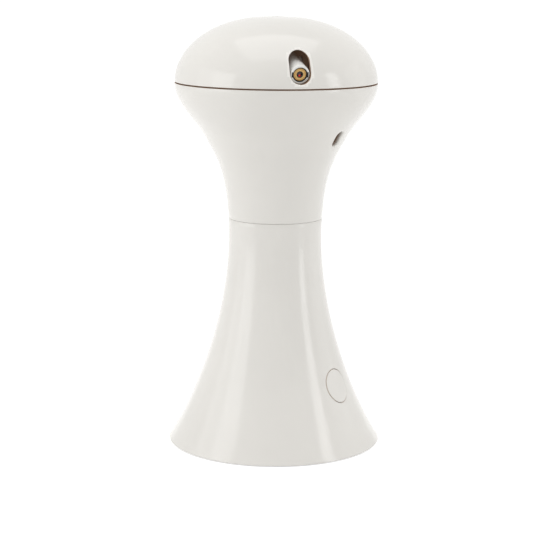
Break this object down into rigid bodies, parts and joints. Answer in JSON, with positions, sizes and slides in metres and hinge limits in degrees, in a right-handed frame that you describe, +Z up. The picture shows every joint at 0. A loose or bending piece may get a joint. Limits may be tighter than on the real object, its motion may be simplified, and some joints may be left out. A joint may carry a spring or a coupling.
{
  "type": "automatic cat laser toy",
  "caption": "Trumpet-shaped tabletop laser toy: a bowl-shaped head with a motor-turned domed cap, a tilting laser barrel in the cap's slot, a second laser behind side windows and a push button.",
  "frame": {"origin": "middle of the plane that the rubber feet stand on, on the axis of the stand and the turning cap", "axes": "+Z up along the axis of the turning cap; -Y is the side that the dome's slot and upper laser face at rest; +X is the side of the push button"},
  "size_m": [0.108, 0.108, 0.2152],
  "materials": {
    "shell": "gloss",
    "barrel": "gloss",
    "inner_plastic": "satin",
    "chassis": "satin",
    "gear_plastic": "satin",
    "steel": "satin",
    "rubber": "matte",
    "cell_jacket": "gloss",
    "board": "satin",
    "switch_black": "satin",
    "brass": "satin",
    "copper": "satin",
    "laser_lens": "gloss"
  },
  "bodies": {
    "stand": {"base_shell": "shell", "base_plate": "inner_plastic", "base_screws": "steel", "rubber_feet": "rubber", "battery_door": "inner_plastic", "door_screw": "steel", "door_contacts": "steel", "battery_holder": "inner_plastic", "holder_screws": "steel", "top_contacts": "steel", "battery_cells": "cell_jacket", "control_board": "board", "board_screws": "steel", "power_switch": "switch_black", "head_shell": "shell", "gearbox_floor": "inner_plastic", "floor_screws": "steel", "drive_motor": "steel", "motor_screws": "steel", "gear_axle": "steel", "gearbox_cover": "inner_plastic", "cover_screws": "steel", "lower_bush": "brass", "upper_bush": "brass", "brush_block": "switch_black", "brush_fingers": "copper"},
    "turning_cap": {"final_gear": "gear_plastic", "rotor_shaft": "steel", "slip_ring_disc": "board", "slip_ring_tracks": "copper", "laser_carrier": "inner_plastic", "carrier_screw": "steel", "lower_laser_barrel": "barrel", "lower_laser_sleeve": "rubber", "lower_laser_module": "brass", "lower_laser_lens": "laser_lens", "turntable": "chassis", "turntable_screw": "steel", "tilt_bracket": "chassis", "bracket_screws": "steel", "dome_cover": "shell", "dome_screws": "steel"},
    "tilting_laser": {"upper_laser_barrel": "barrel", "upper_laser_sleeve": "rubber", "upper_laser_module": "brass", "upper_laser_lens": "laser_lens", "tilt_washers": "steel", "tilt_screws": "steel"},
    "idler": {"compound_gear": "gear_plastic"},
    "motor_rotor": {"motor_shaft": "steel", "motor_pinion": "brass"},
    "push_button": {"power_button": "shell", "switch_plunger": "switch_black"}
  },
  "joints": [
    {"name": "dome_spin", "type": "hinge", "parent": "stand", "child": "turning_cap", "pos_m": [0, 0, 0.15], "axis": [0, 0, 1], "continuous": true},
    {"name": "laser_tilt", "type": "hinge", "parent": "turning_cap", "child": "tilting_laser", "pos_m": [0, -0.02859, 0.19434], "axis": [-1, 0, 0], "range_deg": [0, 18]},
    {"name": "button_press", "type": "slide", "parent": "stand", "child": "push_button", "axis": [-0.6691, 0.7431, 0], "range_m": [0, 0.0015], "stiffness_N_per_m": 900, "springref_m": -0.0008},
    {"name": "idler_spin", "type": "hinge", "parent": "stand", "child": "idler", "pos_m": [-0.0126, 0, 0.137], "axis": [0, 0, 1], "continuous": true},
    {"name": "motor_spin", "type": "hinge", "parent": "stand", "child": "motor_rotor", "pos_m": [-0.0045, 0.00965, 0.12], "axis": [0, 0, 1], "continuous": true}
  ],
  "couplings": [
    {"joint": "idler_spin", "follows": "dome_spin", "ratio": -2.5},
    {"joint": "motor_spin", "follows": "dome_spin", "ratio": 6.25}
  ]
}
